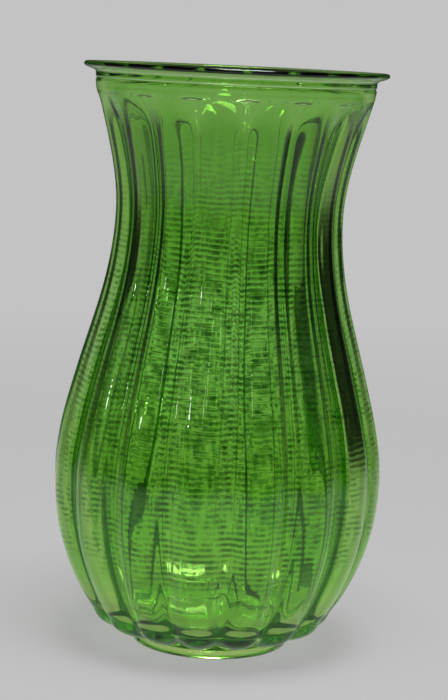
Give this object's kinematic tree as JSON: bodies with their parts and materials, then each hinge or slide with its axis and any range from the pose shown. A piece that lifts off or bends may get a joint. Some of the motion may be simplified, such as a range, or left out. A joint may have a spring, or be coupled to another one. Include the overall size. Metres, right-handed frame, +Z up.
{
  "type": "ribbed glass flower vase",
  "caption": "Round ribbed flower vase in green glass, with a full belly, a drawn-in waist, a collar under a turned-out lip, and a foot ring.",
  "frame": {"origin": "centre of the ring that the vase stands on, in the plane that it stands on", "axes": "+Z up along the vase's axis, towards its mouth; one groove between two lobes lies towards -Y, and others towards +X, -X and +Y"},
  "size_m": [0.1352, 0.1352, 0.241],
  "materials": {
    "green_glass": "fire-polished clear green soda-lime glass"
  },
  "bodies": {
    "root": {"glass_vase": "green_glass"}
  },
  "joints": []
}
